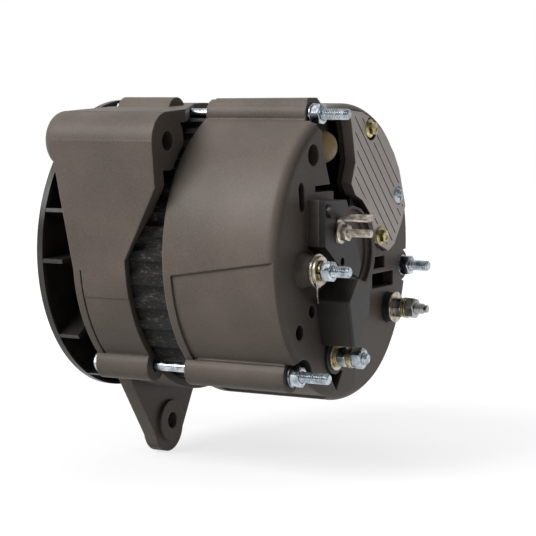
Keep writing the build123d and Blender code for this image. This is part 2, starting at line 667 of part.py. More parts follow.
def main():
    os.makedirs("parts", exist_ok=True)
    save("drive_end_housing", drive_end_housing())
    save("rear_housing", rear_housing())
    save("stator_core", stator_core())
    save("stator_winding", stator_winding())
    save("through_bolts", through_bolts())
    save("through_bolt_washers", [washer(5.6, nut_seat, 1.5, at) for at in bolt_places()])
    save("through_bolt_nuts", nut_stack(bolt_places(), nut_seat + 1.5))
    save("bearing_retainer", bearing_retainer())
    save("retainer_screws", retainer_screws())
    for name, bearing in (("front", front_bearing), ("rear", rear_bearing)):
        save(f"{name}_bearing_outer_race", outer_race(bearing))
        save(f"{name}_bearing_inner_race", inner_race(bearing))
        save(f"{name}_bearing_balls", [*balls(bearing), cage(bearing)])
    save("shaft", shaft())
    save("fan_key", fan_key())
    save("fan_spacer", fan_spacer())
    save("fan", fan())
    save("front_claw_pole", claw_pole(True))
    save("rear_claw_pole", claw_pole(False))
    save("field_coil_bobbin", bobbin())
    save("field_coil", field_coil())
    save("slip_ring_hub", slip_ring_hub())
    save("slip_rings", [slip_ring(0), slip_ring(1)])
    for n in range(2):
        side = ("inner", "outer")[n]
        save(f"{side}_brush", brush(n))
        save(f"{side}_brush_spring", brush_spring(n))
    save("brush_holder", brush_holder())
    save("brush_holder_screw", brush_screws())
    save("field_stud", field_terminal())
    save("field_nut", field_nut())
    save("field_tab", field_tab())
    save("battery_stud", stud(battery_at, positive_y, battery_nut_top, battery_tip))
    save("battery_insulator", battery_insulator())
    save("battery_washers", battery_washers())
    save("battery_nut", nut_stack([battery_at], battery_nut_top - m6_nut))
    save("suppressor", suppressor())
    save("suppressor_strap", suppressor_strap())
    save("suppressor_lead", suppressor_lead())
    save("tap_stud", stud(tap_at, 142.0, tap_nut_top, tap_tip))
    save("tap_insulator", tap_insulator())
    save("tap_washers", tap_washers())
    save("tap_nuts", nut_stack([tap_at], 160.0) + nut_stack([tap_at], tap_nut_top - m6_nut))
    save("ground_stud", stud(ground_at, negative_y, ground_nut_top, ground_tip))
    save("ground_collar", ground_collar())
    save("ground_washers", ground_washers())
    save("ground_nuts", nut_stack([ground_at], 158.0) + nut_stack([ground_at], ground_nut_top - m6_nut))
    clear = ((battery_at, m6_shank_r + 0.05), (tap_at, 9.0), (ground_at, 7.5))
    save("positive_heat_sink", heat_sink(positive_y, clear, positive_diodes))
    save("negative_heat_sink", heat_sink(negative_y, ((battery_at, 9.0), (tap_at, 9.0), (ground_at, m6_shank_r + 0.05)), negative_diodes))
    save("positive_diodes", diodes(positive_y, positive_diodes, -1))
    save("negative_diodes", diodes(negative_y, negative_diodes, -1))
    save("sink_spacers", sink_spacers())
    save("sink_screws", sink_screws())
    save("regulator_cover", regulator_cover())
    save("regulator_module", regulator_module())
    save("cover_flange_screws", cover_flange_screws())
    save("cover_pan_screw", cover_pan_screw())
    save("lead_cap", lead_cap())


main()
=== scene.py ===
import bmesh
import bpy
import json
import math
import numpy as np
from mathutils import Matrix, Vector


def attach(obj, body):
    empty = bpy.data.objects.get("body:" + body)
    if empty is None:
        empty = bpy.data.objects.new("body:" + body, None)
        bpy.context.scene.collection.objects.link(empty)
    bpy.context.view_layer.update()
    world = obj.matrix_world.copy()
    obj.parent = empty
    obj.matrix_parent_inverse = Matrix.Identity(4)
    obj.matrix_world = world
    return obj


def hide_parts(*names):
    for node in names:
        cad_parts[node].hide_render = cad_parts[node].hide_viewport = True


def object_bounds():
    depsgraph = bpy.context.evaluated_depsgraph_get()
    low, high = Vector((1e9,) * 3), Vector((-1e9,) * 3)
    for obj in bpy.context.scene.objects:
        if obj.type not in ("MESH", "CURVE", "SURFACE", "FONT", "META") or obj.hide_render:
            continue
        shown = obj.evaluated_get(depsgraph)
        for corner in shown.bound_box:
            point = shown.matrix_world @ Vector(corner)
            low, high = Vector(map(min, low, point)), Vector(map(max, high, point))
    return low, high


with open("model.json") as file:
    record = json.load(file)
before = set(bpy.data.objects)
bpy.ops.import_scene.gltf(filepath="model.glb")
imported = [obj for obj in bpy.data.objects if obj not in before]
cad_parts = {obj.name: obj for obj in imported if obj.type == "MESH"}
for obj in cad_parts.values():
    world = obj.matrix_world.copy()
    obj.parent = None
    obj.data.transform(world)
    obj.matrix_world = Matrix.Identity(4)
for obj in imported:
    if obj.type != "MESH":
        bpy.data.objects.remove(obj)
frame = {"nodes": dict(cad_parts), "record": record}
cadBox = [list(corner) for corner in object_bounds()]
nodes = frame["nodes"]
mm = 0.001
print("frame loaded:", len(nodes), "nodes")


def hexColour(text):
    # sRGB hex to the linear values that Blender's sockets take
    srgb = [int(text[i : i + 2], 16) / 255 for i in (1, 3, 5)]
    linear = [c / 12.92 if c <= 0.04045 else ((c + 0.055) / 1.055) ** 2.4 for c in srgb]
    return (*linear, 1.0)


def addNode(tree, kind, values=None, links=None, **settings):
    node = tree.nodes.new(kind)
    for name, value in settings.items():
        setattr(node, name, value)
    for socket, value in (values or {}).items():
        node.inputs[socket].default_value = value
    for socket, source in (links or {}).items():
        tree.links.new(source, node.inputs[socket])
    return node


def newMaterial(name, values):
    # a Principled surface and its object coordinates, ready for a pattern
    material = bpy.data.materials.new(name)
    material.use_nodes = True
    tree = material.node_tree
    tree.nodes.clear()
    shader = addNode(tree, "ShaderNodeBsdfPrincipled", values)
    addNode(tree, "ShaderNodeOutputMaterial", links={"Surface": shader.outputs[0]})
    place = addNode(tree, "ShaderNodeTexCoord").outputs["Object"]
    return material, tree, shader, place


def noise(tree, place, size, detail, roughness=0.5):
    values = {"Scale": 1 / size, "Detail": detail, "Roughness": roughness}
    return addNode(tree, "ShaderNodeTexNoise", values, {"Vector": place}).outputs["Fac"]


def remap(tree, source, before, after):
    values = {"From Min": before[0], "From Max": before[1], "To Min": after[0], "To Max": after[1]}
    return addNode(tree, "ShaderNodeMapRange", values, {"Value": source}).outputs["Result"]


def softNormal(tree, reach, samples):
    # the normal of edges rounded by the reach
    return addNode(tree, "ShaderNodeBevel", {"Radius": reach}, samples=samples).outputs["Normal"]


def colourRamp(tree, source, stops):
    ramp = addNode(tree, "ShaderNodeValToRGB", links={"Fac": source})
    while len(ramp.color_ramp.elements) < len(stops):
        ramp.color_ramp.elements.new(0.5)
    for element, (position, colour) in zip(ramp.color_ramp.elements, stops):
        element.position = position
        element.color = hexColour(colour)
    return ramp.outputs["Color"]


def bumpFrom(tree, height, distance, strength=1.0, normal=None):
    links = {"Height": height}
    if normal is not None:
        links["Normal"] = normal
    values = {"Distance": distance, "Strength": strength}
    return addNode(tree, "ShaderNodeBump", values, links).outputs["Normal"]


def openness(tree, reach):
    # one in the open, falling to nothing in holes and corners, where the colour takes painted shade
    shutShare, openShare = 0.3, 0.78  # of the rays that get away
    shade = addNode(tree, "ShaderNodeAmbientOcclusion", {"Distance": reach}, samples=6)
    return remap(tree, shade.outputs["AO"], (shutShare, openShare), (0.0, 1.0))


def wornEdges(tree, place, reach):
    # how far the softened normal leaves the face's own, broken up by a patchy noise
    patchSize, mostWorn = 6 * mm, 0.7
    face = addNode(tree, "ShaderNodeNewGeometry").outputs["Normal"]
    normals = {0: softNormal(tree, reach, 4), 1: face}
    apart = addNode(tree, "ShaderNodeVectorMath", None, normals, operation="DISTANCE").outputs["Value"]
    factors = {0: apart, 1: noise(tree, place, patchSize, 4.0)}
    product = addNode(tree, "ShaderNodeMath", None, factors, operation="MULTIPLY").outputs[0]
    return remap(tree, product, (0.1, 0.5), (0.0, mostWorn))


def paintedCasting(name, look):
    # cast aluminium under thin satin paint: a fine pebbled skin, worn thin along the edges, painted shade in the
    # corners
    cloudSize, cloudShare, shadeReach, wornShare = 45 * mm, 0.6, 9 * mm, 0.8
    material, tree, shader, place = newMaterial(name, {
        "Roughness": look["roughness"], "Specular IOR Level": look["gloss"], "Metallic": look["metallic"]})
    grain = noise(tree, place, look["grain"], 4.0, 0.6)
    cloud = {0: noise(tree, place, cloudSize, 3.0)}
    mixed = addNode(tree, "ShaderNodeMath", {1: cloudShare}, cloud, operation="MULTIPLY").outputs[0]
    parts = {0: grain, 2: mixed}
    both = addNode(tree, "ShaderNodeMath", {1: 1 - cloudShare}, parts, operation="MULTIPLY_ADD").outputs[0]
    tint = colourRamp(tree, both, ((0.36, look["dark"]), (0.5, look["colour"]), (0.64, look["light"])))
    worn = {0: wornEdges(tree, place, look["edge"] * wornShare), 6: tint}
    painted = addNode(tree, "ShaderNodeMix", {7: hexColour(look["bare"])}, worn, data_type="RGBA").outputs[2]
    # painted shade: holes and corners darken towards the shade colour as the openness falls
    unshaded = {0: openness(tree, shadeReach), 7: painted}
    shaded = addNode(tree, "ShaderNodeMix", {6: hexColour(look["paintedShade"])}, unshaded, data_type="RGBA").outputs[2]
    tree.links.new(shaded, shader.inputs["Base Color"])
    normal = bumpFrom(tree, grain, look["depth"], 1.0, softNormal(tree, look["edge"], 6))
    tree.links.new(normal, shader.inputs["Normal"])
    return material


def platedSteel(name, look):
    # barrel-plated steel: bright, with faint cloudy patches in the passivation and a fine tumbled grain
    cloudSize, grainSize, edge, smoother, rougher = 3 * mm, 0.5 * mm, 0.25 * mm, 0.06, 0.1
    material, tree, shader, place = newMaterial(name, {"Metallic": 1.0})
    cloud = noise(tree, place, cloudSize, 3.0)
    tint = colourRamp(tree, cloud, ((0.35, look["dark"]), (0.5, look["colour"]), (0.68, look["light"])))
    tree.links.new(tint, shader.inputs["Base Color"])
    rough = remap(tree, cloud, (0.35, 0.65), (look["roughness"] - smoother, look["roughness"] + rougher))
    tree.links.new(rough, shader.inputs["Roughness"])
    grain = noise(tree, place, grainSize, 2.0)
    normal = bumpFrom(tree, grain, 0.02 * mm, 0.6, softNormal(tree, edge, 4))
    tree.links.new(normal, shader.inputs["Normal"])
    return material


def mouldedPlastic(name, look):
    # injection moulded: even colour, a light sheen and a fine spark-eroded skin
    cloudSize, grainSize, edge = 9 * mm, 0.7 * mm, 0.5 * mm
    values = {"Roughness": look["roughness"], "Specular IOR Level": 0.5}
    material, tree, shader, place = newMaterial(name, values)
    cloud = noise(tree, place, cloudSize, 3.0)
    tint = colourRamp(tree, cloud, ((0.38, look["dark"]), (0.62, look["colour"])))
    tree.links.new(tint, shader.inputs["Base Color"])
    grain = noise(tree, place, grainSize, 3.0)
    normal = bumpFrom(tree, grain, 0.03 * mm, 0.7, softNormal(tree, edge, 4))
    tree.links.new(normal, shader.inputs["Normal"])
    return material


def varnishedLaminations(name):
    # punched steel sheets on edge, dipped in black varnish that stands up in pale rough specks, drawn out as
    # painted highlight streaks
    sheetPitch, speckSize = 1.1 * mm, 1.3 * mm  # sheets are 0.5 mm, drawn coarser so that they show
    material, tree, shader, place = newMaterial(name, {"Roughness": 0.45, "Specular IOR Level": 0.35})
    bands = {"Scale": 1 / sheetPitch / 2, "Distortion": 1.2, "Detail": 2.0, "Detail Scale": 3.0}
    sheets = addNode(tree, "ShaderNodeTexWave", bands, {"Vector": place}, bands_direction="Y").outputs["Fac"]
    # the specks are stretched along Y into streaks: partly the varnish's own specks, partly painted highlight on
    # the ribs
    streakedPlace = addNode(tree, "ShaderNodeMapping", {"Scale": (1.0, 0.4, 1.0)}, {"Vector": place})
    specksAndStreaks = noise(tree, streakedPlace.outputs["Vector"], speckSize, 5.0, 0.72)
    # the palest specks are the pale varnish and, where streaked, painted highlight along the rib faces
    tint = colourRamp(tree, specksAndStreaks, ((0.45, "#080807"), (0.57, "#1f1c1a"), (0.66, "#6f675f")))
    tree.links.new(tint, shader.inputs["Base Color"])
    normal = bumpFrom(tree, specksAndStreaks, 0.6 * mm, 1.0, bumpFrom(tree, sheets, 0.12 * mm))
    tree.links.new(normal, shader.inputs["Normal"])
    return material


finishes = {
    # in each look the colour after bare is painted shade for holes and corners
    "housing_paint": paintedCasting("PaintedAluminiumCasting", dict(
        colour="#665d55", dark="#59514a", light="#72685f", bare="#a0958a", paintedShade="#151210",
        roughness=0.5, metallic=0.0, gloss=0.28, grain=0.9 * mm, depth=0.06 * mm, edge=1.2 * mm)),
    "cover_cast": paintedCasting("SatinDieCastCover", dict(
        colour="#b3a9a4", dark="#aaa09b", light="#bab0ab", bare="#d8cfc8", paintedShade="#4a4440",
        roughness=0.4, metallic=0.5, gloss=0.5, grain=0.6 * mm, depth=0.02 * mm, edge=0.6 * mm)),
    "lamination_steel": varnishedLaminations("VarnishedLaminations"),
}
# slot: material's name, colour, dark, light, roughness
metals = {
    "zinc_steel": ("ClearZincSteel", "#b1bac1", "#8c969e", "#d6dde2", 0.24),
    "yellow_zinc": ("YellowZincSteel", "#b9aa7c", "#8c7f52", "#d4c9a3", 0.27),
    "bearing_steel": ("GroundBearingSteel", "#c4c6c8", "#bcbec0", "#cfd1d3", 0.16),
    "machined_steel": ("TurnedSteel", "#a9a9a7", "#989896", "#b7b7b5", 0.3),
    "pole_iron": ("ForgedPoleSteel", "#4d4a47", "#3d3a38", "#5f5b57", 0.5),
    "spring_steel": ("SpringWire", "#8f9092", "#7c7d7f", "#a2a3a5", 0.3),
    "tinned_steel": ("TinnedSteelStrip", "#bfb6aa", "#8f8579", "#dbd4ca", 0.34),
    "sink_aluminium": ("PressedAluminium", "#c2c4c5", "#b4b6b7", "#cfd1d2", 0.35),
    "diode_can": ("NickelDiodeCan", "#b5b1a8", "#a5a198", "#c3bfb6", 0.3),
    "copper": ("TurnedCopper", "#c0764e", "#a9623d", "#d08a62", 0.25),
}
# slot: material's name, colour, dark, roughness
plastics = {
    "winding_wire": ("EnamelledCopperWire", "#7a3d1c", "#5c2c14", 0.3),
    "black_plastic": ("BlackGlassNylon", "#2f2e2e", "#262525", 0.5),
    "can_plastic": ("BlackMouldedCase", "#35312e", "#292624", 0.46),
    "fan_paint": ("GlossBlackPaint", "#302c29", "#24211e", 0.33),
    "beige_plastic": ("CreamNylon", "#c6aa80", "#b3966b", 0.5),
    "carbon": ("CopperGraphite", "#3a3431", "#2d2826", 0.6),
}
for slot, (name, colour, dark, light, roughness) in metals.items():
    finishes[slot] = platedSteel(name, dict(colour=colour, dark=dark, light=light, roughness=roughness))
for slot, (name, colour, dark, roughness) in plastics.items():
    finishes[slot] = mouldedPlastic(name, dict(colour=colour, dark=dark, roughness=roughness))
slotOf = {part["node"]: part["material_slot"] for part in frame["record"]["subparts"]}
for name, node in nodes.items():
    node.data.materials.clear()
    node.data.materials.append(finishes[slotOf[name]])
nodes["brush_holder_screw"].data.materials[0] = finishes["pole_iron"]  # blacked screws in the brush holder
print("finishes on", len(nodes), "nodes")

turn = np.linspace(0, 2 * np.pi, 48, endpoint=False)
fineTurn = np.linspace(0, 2 * np.pi, 96, endpoint=False)


def around(at, heights, radii, turns=turn):
    # one ring of points for each height along Y: across by the sine of the turn, up by its cosine
    heights = np.asarray(heights, float).reshape(-1, 1)
    radii = np.asarray(radii, float)
    radii = np.broadcast_to(radii if radii.ndim == 2 else radii.reshape(-1, 1), (len(heights), len(turns)))
    return np.stack((at[0] + radii * np.sin(turns), heights + 0 * radii, at[1] + radii * np.cos(turns)), -1)


def gridFaces(points, ring, start):
    # quads between neighbours, wrapped round the columns; a ring's rows wrap too, or else each end is filled
    rows, columns = points.shape[:2]
    index = start + np.arange(rows * columns).reshape(rows, columns)
    low, high = (index, np.roll(index, -1, 0)) if ring else (index[:-1], index[1:])
    quads = np.stack((low, np.roll(low, -1, 1), np.roll(high, -1, 1), high), -1).reshape(-1, 4).tolist()
    return quads if ring else [*quads, index[0, ::-1].tolist(), index[-1].tolist()]


def makePiece(name, grids, node, slot=None, body="housing", sharp=32):
    # joins the grids in one mesh, points its faces outwards and lets it stand for the node
    points = np.concatenate([grid.reshape(-1, 3) for grid, ring in grids]) * mm
    faces, start = [], 0
    for grid, ring in grids:
        faces += gridFaces(grid, ring, start)
        start += grid.shape[0] * grid.shape[1]
    mesh = bpy.data.meshes.new(name)
    mesh.from_pydata(points.tolist(), [], faces)
    tidy = bmesh.new()
    tidy.from_mesh(mesh)
    bmesh.ops.recalc_face_normals(tidy, faces=tidy.faces)
    tidy.to_mesh(mesh)
    tidy.free()
    mesh.shade_smooth()
    mesh.set_sharp_from_angle(angle=math.radians(sharp))
    piece = bpy.data.objects.new(name, mesh)
    bpy.context.scene.collection.objects.link(piece)
    mesh.materials.append(finishes[slot or slotOf[node]])
    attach(piece, body)
    if node:
        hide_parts(node)


def hexRows(y0, y1, flats, twist=0.0):
    # a hexagon's radius is half its flats over the cosine of the turn from the nearest flat; a 30 degree cone
    # trims its corners
    coneStart, coneSlope = 0.475 * flats, 1.73
    across = flats / 2 / np.cos((turn + np.radians(30 + twist)) % np.radians(60) - np.radians(30))
    depth = np.array((0.0, 0.15, 0.3, 0.45, 0.62))
    heights = np.concatenate((y0 + depth, y1 - depth[::-1]))
    inward = np.concatenate((depth, depth[::-1])).reshape(-1, 1)
    return heights, np.minimum(across, coneStart + coneSlope * inward)


def threadRows(y0, y1, thread):
    # a V thread: the radius falls from the crest by a triangle wave of height over pitch less turn, cut flat at
    # crest and root, and a cone ends it
    rowsPerPitch, steepness, crest = 7, 1.25, 0.12
    heights = np.arange(y0, y1, thread["pitch"] / rowsPerPitch)
    phase = (heights.reshape(-1, 1) / thread["pitch"] - turn / (2 * np.pi)) % 1
    wave = np.clip(np.abs(2 * phase - 1) * steepness - crest, 0, 1)
    tip = thread["r"] - thread["tip"]
    cone = tip + (y1 - heights.reshape(-1, 1))
    radii = np.minimum(thread["r"] - thread["depth"] * wave, cone)
    return np.append(heights, y1), np.vstack((radii, np.full((1, len(turn)), tip)))


def plainRows(heights, radii):
    return np.asarray(heights, float), np.repeat(np.asarray(radii, float).reshape(-1, 1), len(turn), 1)


def stacked(at, *sections):
    # sections laid end to end along the axis
    heights, radii = zip(*sections)
    return around(at, np.concatenate(heights), np.vstack(radii))


def nut(at, y0, look, twist=0.0):
    # chamfered hexagon outside, a bore with a countersink at each face inside
    y1, bore, sink = y0 + look["nut"], look["bore"], look["sink"]
    below = plainRows((y0 + sink, y0), (bore, bore + sink))
    above = plainRows((y1, y1 - sink), (bore + sink, bore))
    return stacked(at, below, hexRows(y0, y1, look["flats"], twist), above), True


def washer(at, y0, outer, thick, hole=3.1, edge=0.2):
    # a flat ring whose two outer edges are cut back
    heights = y0 + np.array((0, 0, edge, thick - edge, thick, thick))
    radii = (hole, outer - edge, outer, outer, outer - edge, hole)
    return around(at, heights, radii), True


def springWasher(at, y0, look, gap):
    # a square section carried round one turn that climbs by its rise, its two ends left apart at the gap's angle
    halfGap, edge, inner, outer, thick = 7, 0.15, look["inner"], look["outer"], look["thick"]
    steps = np.linspace(math.radians(gap + halfGap), math.radians(gap + 360 - halfGap), 60).reshape(-1, 1)
    radii = np.array((inner, inner + edge, outer - edge, outer, outer, outer - edge, inner + edge, inner))
    lift = np.array((edge, 0, 0, edge, thick - edge, thick, thick, thick - edge))
    climb = look["rise"] * (steps - steps[0]) / (2 * np.pi)
    points = np.stack((at[0] + radii * np.sin(steps), y0 + lift + climb, at[1] + radii * np.cos(steps)), -1)
    return points, False


m6 = dict(r=2.9, pitch=1.0, depth=0.5, tip=0.8, shank=2.6, flats=10.0, nut=5.0, bore=2.95, sink=0.4)
m4 = dict(r=2.05, pitch=0.7, depth=0.34, tip=0.5, shank=1.8, flats=8.0, bore=2.1)

throughBolt = dict(
    circle=77.6, angles=(20.7, 140.7, 260.7), head=(30.0, 34.0), thread=138.0, tips=(170.0, 170.6, 166.0),
    nutSeat=150.0, twists=(7.5, 15.0, 0.0),
    springSeat=148.5, gaps=(222.5, 245.0, 200.0), spring=dict(inner=3.1, outer=5.6, thick=1.2, rise=0.25))


def buildThroughBolts(look):
    angles = np.radians(look["angles"])
    spots = np.stack((look["circle"] * np.sin(angles), look["circle"] * np.cos(angles)), -1)
    shank = plainRows((look["head"][1], look["thread"]), (m6["shank"], m6["shank"]))
    head = hexRows(*look["head"], m6["flats"])
    threads = [threadRows(look["thread"], tip, m6) for tip in look["tips"]]
    bolts = [(stacked(at, head, shank, thread), False) for at, thread in zip(spots, threads)]
    nuts = [nut(at, look["nutSeat"], m6, twist) for at, twist in zip(spots, look["twists"])]
    rings = [springWasher(at, look["springSeat"], look["spring"], gap)
             for at, gap in zip(spots, look["gaps"])]
    makePiece("throughBoltsThreaded", bolts, "through_bolts")
    makePiece("throughBoltNutsChamfered", nuts, "through_bolt_nuts")
    makePiece("throughBoltSpringWashers", rings, "through_bolt_washers")


buildThroughBolts(throughBolt)

studThread = 155.0
# flat and small are a height, an outer radius and a thickness; nuts and springs a height and a turn
batteryPost = dict(
    at=(49.0, -5.6), head=(114.0, 118.0), tip=182.0,
    nuts=((167.5, 7.5),), flat=(163.0, 8.75, 1.3),
    springs=((165.9, 95.0),), spring=dict(inner=3.1, outer=5.4, thick=1.3, rise=0.25))
groundPost = dict(
    at=(-52.0, -33.7), head=(129.0, 133.0), tip=177.0,
    nuts=((158.0, 0.0), (165.2, 15.0)), flat=(156.8, 8.5, 1.2),
    springs=((163.0, 60.0), (164.1, 250.0)), spring=dict(inner=3.1, outer=5.6, thick=0.95, rise=0.15),
    dog=dict(long=2.0, r=2.1, edge=0.3))
tapPost = dict(
    at=(17.0, -53.0), head=(138.0, 142.0), tip=176.0,
    nuts=((160.0, 7.5), (168.4, 22.5)), flat=(157.0, 7.3, 1.2),
    springs=((165.0, 140.0), (166.2, 320.0)), spring=dict(inner=3.1, outer=5.4, thick=1.05, rise=0.12),
    small=((158.2, 5.6, 0.9), (159.1, 5.6, 0.9)))


def stud(look, threadEnd, *ends):
    shank = plainRows((look["head"][1], studThread), (m6["shank"], m6["shank"]))
    head = hexRows(*look["head"], m6["flats"])
    return stacked(look["at"], head, shank, threadRows(studThread, threadEnd, m6), *ends), False


def nutsOf(look):
    return [nut(look["at"], y, m6, twist) for y, twist in look["nuts"]]


def springsOf(look):
    return [springWasher(look["at"], y, look["spring"], gap) for y, gap in look["springs"]]


def buildBatteryPost(look):
    makePiece("batteryStudThreaded", [stud(look, look["tip"])], "battery_stud")
    makePiece("batteryNutChamfered", nutsOf(look), "battery_nut")
    makePiece("batteryFlatWasher", [washer(look["at"], *look["flat"])], "battery_washers", "tinned_steel")
    makePiece("batterySpringWasher", springsOf(look), "battery_washers")


def buildGroundPost(look):
    # the stud ends in a plain dog point
    dog, tip = look["dog"], look["tip"]
    threadEnd = tip - dog["long"]
    point = plainRows((threadEnd, tip - dog["edge"], tip), (dog["r"], dog["r"], dog["r"] - dog["edge"]))
    makePiece("groundStudThreaded", [stud(look, threadEnd, point)], "ground_stud", "machined_steel")
    makePiece("groundNutsChamfered", nutsOf(look), "ground_nuts", "machined_steel")
    makePiece("groundFlatWasher", [washer(look["at"], *look["flat"])], "ground_washers", "tinned_steel")
    makePiece("groundSpringWashers", springsOf(look), "ground_washers")


def buildTapPost(look):
    makePiece("tapStudThreaded", [stud(look, look["tip"])], "tap_stud")
    makePiece("tapNutsChamfered", nutsOf(look), "tap_nuts")
    makePiece("tapFlatWasher", [washer(look["at"], *look["flat"])], "tap_washers", "tinned_steel")
    small = [washer(look["at"], *ring) for ring in look["small"]]
    makePiece("tapSmallWashers", [*small, *springsOf(look)], "tap_washers")


buildBatteryPost(batteryPost)
buildGroundPost(groundPost)
buildTapPost(tapPost)

fieldPost = dict(
    at=(30.4, 12.6), start=162.6, thread=167.0, tip=184.5, nut=(167.8, 171.5), twist=15.0, sink=0.3,
    flange=dict(y=167.0, r=5.6, edge=0.15, rise=0.5, neckR=4.4, neckRise=1.1), hexStart=0.4)


def buildFieldPost(look):
    shank = plainRows((look["start"], look["thread"]), (m4["shank"], m4["shank"]))
    grid = stacked(look["at"], shank, threadRows(look["thread"], look["tip"], m4))
    makePiece("fieldStudThreaded", [(grid, False)], "field_stud", "tinned_steel")

    # flange nut: bore, sloped flange, the hexagon's rows above it, then the countersink
    y0, y1 = look["nut"]
    foot, bore, sink = look["flange"], m4["bore"], look["sink"]
    flangeHeights = (y0 + sink, foot["y"], foot["y"], foot["y"] + foot["rise"], foot["y"] + foot["neckRise"])
    flange = plainRows(flangeHeights, (bore, bore, foot["r"] - foot["edge"], foot["r"], foot["neckR"]))
    heights, radii = hexRows(y0, y1, m4["flats"], look["twist"])
    keep = heights > y0 + look["hexStart"]
    top = plainRows((y1, y1 - sink), (bore + sink, bore))
    grid = stacked(look["at"], flange, (heights[keep], radii[keep]), top)
    makePiece("fieldFlangeNut", [(grid, True)], "field_nut", "tinned_steel")


buildFieldPost(fieldPost)
print("bolts, studs, nuts and washers ready")

tab = dict(
    at=(30.4, 12.6), low=-5.35, top=8.15, face=166.0, tip=185.0, thick=1.0, bend=2.0,
    footWidth=9.4, bladeWidth=6.4, taperStart=0.18, taper=0.22,
    footRound=3.2, footShare=0.45, tipRound=1.2, tipShare=0.8, edge=0.16, lean=24, leanStart=0.6, leanReach=4)


def roundedEnd(distance, reach, share):
    # a share of the full width at the end itself, all of it a reach away, by a quarter circle between
    near = np.clip(distance / reach, 0, 1)
    return share + (1 - share) * np.sqrt(near * (2 - near))


def buildTab(look):
    # a strip carried along an L, up the face, round a quarter circle, then out level; it narrows from foot to blade
    x, z = look["at"]
    t, r, e = look["thick"], look["bend"], look["edge"]
    up = np.linspace(z + look["low"], z + look["top"] - r, 26)
    bend = np.linspace(0, np.pi / 2, 10)[1:]
    out = np.linspace(look["face"] + r, look["tip"], 24)[1:]
    # middle line of the strip and its outward normal in the Y-Z plane
    upY, bendY = np.full(len(up), look["face"] + t / 2), look["face"] + r - (r - t / 2) * np.cos(bend)
    bendZ, outZ = z + look["top"] - r + (r - t / 2) * np.sin(bend), np.full(len(out), z + look["top"] - t / 2)
    middleY, middleZ = np.concatenate((upY, bendY, out)), np.concatenate((up, bendZ, outZ))
    normalY = np.concatenate((np.full(len(up), -1.0), -np.cos(bend), np.zeros(len(out)))).reshape(-1, 1)
    normalZ = np.concatenate((np.zeros(len(up)), np.sin(bend), np.ones(len(out)))).reshape(-1, 1)

    eased = np.clip((np.linspace(0, 1, len(middleY)) - look["taperStart"]) / look["taper"], 0, 1)
    width = look["footWidth"] + (look["bladeWidth"] - look["footWidth"]) * eased
    width = width * roundedEnd(middleZ - z - look["low"], look["footRound"], look["footShare"])
    width = width * roundedEnd(look["tip"] - middleY, look["tipRound"], look["tipShare"])
    middleY, middleZ, width = (values.reshape(-1, 1) for values in (middleY, middleZ, width))
    side = np.array((-0.5, -0.5, -0.5, 0.5, 0.5, 0.5)) * width + np.array((e, 0, 0, 0, 0, -e))
    lift = np.array((0.5, 0.5 - e, -0.5 + e, -0.5 + e, 0.5 - e, 0.5)) * t
    # the level part leans over towards the hinge side
    leaning = np.clip((middleY - look["face"] - look["leanStart"]) / look["leanReach"], 0, 1)
    fall = side * math.tan(math.radians(look["lean"])) * leaning
    points = np.stack((x + side, middleY + normalY * lift, middleZ + normalZ * lift - fall), -1)
    makePiece("fieldTabBent", [(points, False)], "field_tab")


buildTab(tab)
print("tab ready")

strap = dict(
    at=(49.0, -5.6), y=(164.3, 165.9), ring=7.6, wide=5.0, thick=0.8, across=(-0.87, -0.5, 0.0),
    arm=((53.0, 164.9, -10.8), (50.5, 164.0, -14.2), (43.5, 160.4, -19.4), (37.0, 157.4, -23.4)))


def buildStrap(look):
    # a ring under the battery nut, and a ribbon on edge carried along its own path down to the can's foot
    y0, y1 = look["y"]
    path = np.array(look["arm"])
    steps = np.linspace(0, len(path) - 1, 25)
    route = np.stack([np.interp(steps, np.arange(len(path)), path[:, axis]) for axis in range(3)], -1)
    route[1:-1] = (route[:-2] + 2 * route[1:-1] + route[2:]) / 4
    across = np.array(look["across"])
    up = np.cross(np.gradient(route, axis=0), across)
    up /= np.linalg.norm(up, axis=1, keepdims=True)
    # the section is a rectangle with cut corners, in shares of its width and thickness
    side = np.array((-0.5, -0.46, 0.46, 0.5, 0.5, 0.46, -0.46, -0.5)).reshape(1, -1, 1) * look["wide"]
    lift = np.array((0.3, 0.5, 0.5, 0.3, -0.3, -0.5, -0.5, -0.3)).reshape(1, -1, 1) * look["thick"]
    arm = route[:, None] + side * across + lift * up[:, None]
    ring = washer(look["at"], y0, look["ring"], y1 - y0)
    makePiece("suppressorStrapBent", [ring, (arm, False)], "suppressor_strap")


buildStrap(strap)

can = dict(
    corners=((35.4, -22.0), (26.5, -10.8), (12.0, -14.3), (12.5, -28.2), (23.6, -46.5), (29.5, -46.0)),
    round=1.1, y=(155.5, 174.5), seam=(2.6, 2.5, 2.2, 2.1), seamDeep=0.25, edge=0.7, middleR=14)


def roundedOutline(corners, reach, count):
    # each corner is a quadratic curve between the points a reach away along its two sides
    corners = np.array(corners)
    before, after = np.roll(corners, 1, 0) - corners, np.roll(corners, -1, 0) - corners
    start = corners + reach * before / np.linalg.norm(before, axis=1, keepdims=True)
    end = corners + reach * after / np.linalg.norm(after, axis=1, keepdims=True)
    t = np.linspace(0, 1, count).reshape(1, -1, 1)
    curve = (1 - t) ** 2 * start[:, None] + 2 * t * (1 - t) * corners[:, None] + t**2 * end[:, None]
    return curve.reshape(-1, 2)


